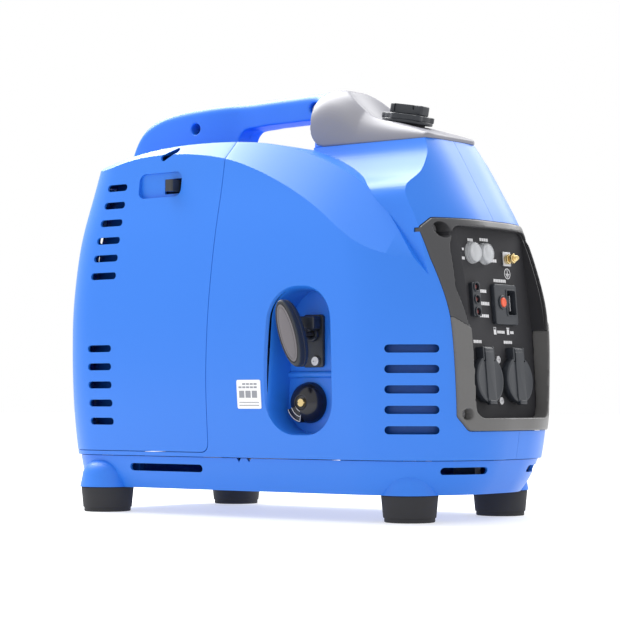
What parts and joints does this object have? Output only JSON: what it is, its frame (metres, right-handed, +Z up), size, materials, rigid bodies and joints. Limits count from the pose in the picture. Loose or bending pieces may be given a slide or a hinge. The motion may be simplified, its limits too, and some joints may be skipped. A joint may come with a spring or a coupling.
{
  "type": "portable inverter generator",
  "caption": "Closed portable petrol inverter generator with top carrying handle, pull starter and fuel cap, and a sloping control panel with flip-lid outlets.",
  "frame": {"origin": "on the ground under the middle of the whole object", "axes": "+X towards the control panel, -Y towards the recoil starter side, +Z up"},
  "size_m": [0.5866, 0.3156, 0.5027],
  "materials": {
    "cover_blue": "satin",
    "trim_grey": "satin",
    "grip_grey": "matte",
    "bezel_charcoal": "satin",
    "panel_black": "matte",
    "black_plastic": "satin",
    "gloss_black": "gloss",
    "rubber": "matte",
    "zinc_steel": "satin",
    "brass": "polished",
    "boot_clear": "clear",
    "lamp_red": "gloss",
    "button_red": "satin",
    "label_white": "satin",
    "rope_black": "braided",
    "recoil_steel": "satin",
    "shaft_steel": "ground",
    "cast_alloy": "cast",
    "winding_copper": "varnished",
    "muffler_steel": "satin",
    "tank_plastic": "matte",
    "filter_foam": "open foam"
  },
  "bodies": {
    "housing": {"right_side_cover": "cover_blue", "left_side_cover": "cover_blue", "left_rear_cover": "cover_blue", "rear_cover": "cover_blue", "base_tray": "cover_blue", "handle_left_half": "cover_blue", "handle_right_half": "cover_blue", "vent_baffles": "cover_blue", "tank_trim_cap": "trim_grey", "control_panel_bezel": "bezel_charcoal", "control_panel_plate": "panel_black", "lamp_housing": "panel_black", "dc_outlet": "panel_black", "right_ac_outlet": "panel_black", "left_ac_outlet": "panel_black", "rope_bracket": "black_plastic", "fuel_strainer": "black_plastic", "carburettor": "black_plastic", "air_filter_box": "black_plastic", "ignition_coil": "black_plastic", "fuel_valve": "black_plastic", "oil_dipstick": "black_plastic", "rubber_feet": "rubber", "engine_mounts": "rubber", "fuel_hose": "rubber", "foot_bolts": "zinc_steel", "handle_bolts": "zinc_steel", "trim_screws": "zinc_steel", "ground_terminal": "brass", "rocker_boots": "boot_clear", "indicator_lamps": "lamp_red", "rating_label": "label_white", "starter_rope": "rope_black", "recoil_housing": "recoil_steel", "recoil_spring": "recoil_steel", "spark_plug": "shaft_steel", "crankcase": "cast_alloy", "cylinder_head": "cast_alloy", "inverter_module": "cast_alloy", "alternator_stator": "winding_copper", "muffler": "muffler_steel", "fuel_tank": "tank_plastic", "air_filter_element": "filter_foam"},
    "door": {"maintenance_door": "cover_blue"},
    "latch": {"door_latch": "black_plastic"},
    "starter_handle": {"starter_grip": "black_plastic", "starter_grip_insert": "grip_grey"},
    "recoil_wheel": {"recoil_pulley": "black_plastic"},
    "crank_assembly": {"crankshaft": "shaft_steel", "flywheel_fan": "cast_alloy"},
    "cap_seal": {"fuel_cap_gasket": "rubber"},
    "filler_cap": {"fuel_cap": "black_plastic"},
    "cap_vent": {"fuel_cap_vent_lever": "black_plastic"},
    "knob": {"engine_knob": "gloss_black", "knob_screw": "brass"},
    "eco_switch": {"economy_rocker": "black_plastic"},
    "run_switch": {"engine_rocker": "black_plastic"},
    "reset": {"dc_reset_button": "button_red"},
    "right_lid": {"right_outlet_lid": "panel_black"},
    "left_lid": {"left_outlet_lid": "panel_black"}
  },
  "joints": [
    {"name": "starter_pull", "type": "slide", "parent": "housing", "child": "starter_handle", "axis": [0, -1, 0], "range_m": [0, 0.6], "stiffness_N_per_m": 8, "springref_m": -0.4, "deforming": ["starter_rope"]},
    {"name": "recoil_spin", "type": "hinge", "parent": "housing", "child": "recoil_wheel", "pos_m": [0.085, 0.01, 0.175], "axis": [1, 0, 0], "range_deg": [0, 990]},
    {"name": "crank_spin", "type": "hinge", "parent": "housing", "child": "crank_assembly", "pos_m": [0, 0.01, 0.175], "axis": [1, 0, 0], "continuous": true},
    {"name": "cap_lift", "type": "slide", "parent": "housing", "child": "cap_seal", "axis": [0.1736, 0, 0.9848], "range_m": [0, 0.12]},
    {"name": "cap_turn", "type": "hinge", "parent": "cap_seal", "child": "filler_cap", "pos_m": [0.1375, 0, 0.455], "axis": [0.1736, 0, 0.9848], "range_deg": [0, 300]},
    {"name": "cap_vent_turn", "type": "hinge", "parent": "filler_cap", "child": "cap_vent", "pos_m": [0.1375, 0, 0.455], "axis": [0.1736, 0, 0.9848], "range_deg": [0, 90]},
    {"name": "engine_knob_turn", "type": "hinge", "parent": "housing", "child": "knob", "pos_m": [0.079, -0.108, 0.132], "axis": [0, -1, 0], "range_deg": [0, 100]},
    {"name": "economy_rocker_tilt", "type": "hinge", "parent": "housing", "child": "eco_switch", "pos_m": [0.24918, -0.036, 0.29959], "axis": [0, 1, 0], "range_deg": [0, 16]},
    {"name": "engine_rocker_tilt", "type": "hinge", "parent": "housing", "child": "run_switch", "pos_m": [0.24918, -0.0105, 0.29959], "axis": [0, 1, 0], "range_deg": [0, 16]},
    {"name": "reset_press", "type": "slide", "parent": "housing", "child": "reset", "axis": [-0.9962, 0, -0.0872], "range_m": [0, 0.002], "stiffness_N_per_m": 300},
    {"name": "right_lid_flip", "type": "hinge", "parent": "housing", "child": "right_lid", "pos_m": [0.26749, -0.031, 0.19077], "axis": [0, -1, 0], "range_deg": [0, 110], "stiffness_Nm_per_rad": 0.02, "springref_deg": -45.84},
    {"name": "left_lid_flip", "type": "hinge", "parent": "housing", "child": "left_lid", "pos_m": [0.26749, 0.031, 0.19077], "axis": [0, -1, 0], "range_deg": [0, 110], "stiffness_Nm_per_rad": 0.02, "springref_deg": -45.84},
    {"name": "door_lift_off", "type": "slide", "parent": "housing", "child": "door", "axis": [0, -1, 0], "range_m": [0, 0.15]},
    {"name": "latch_slide", "type": "slide", "parent": "door", "child": "latch", "axis": [-1, 0, 0], "range_m": [0, 0.008], "stiffness_N_per_m": 200}
  ],
  "couplings": [
    {"joint": "recoil_spin", "follows": "starter_pull", "rad_per_m": 28.571}
  ]
}
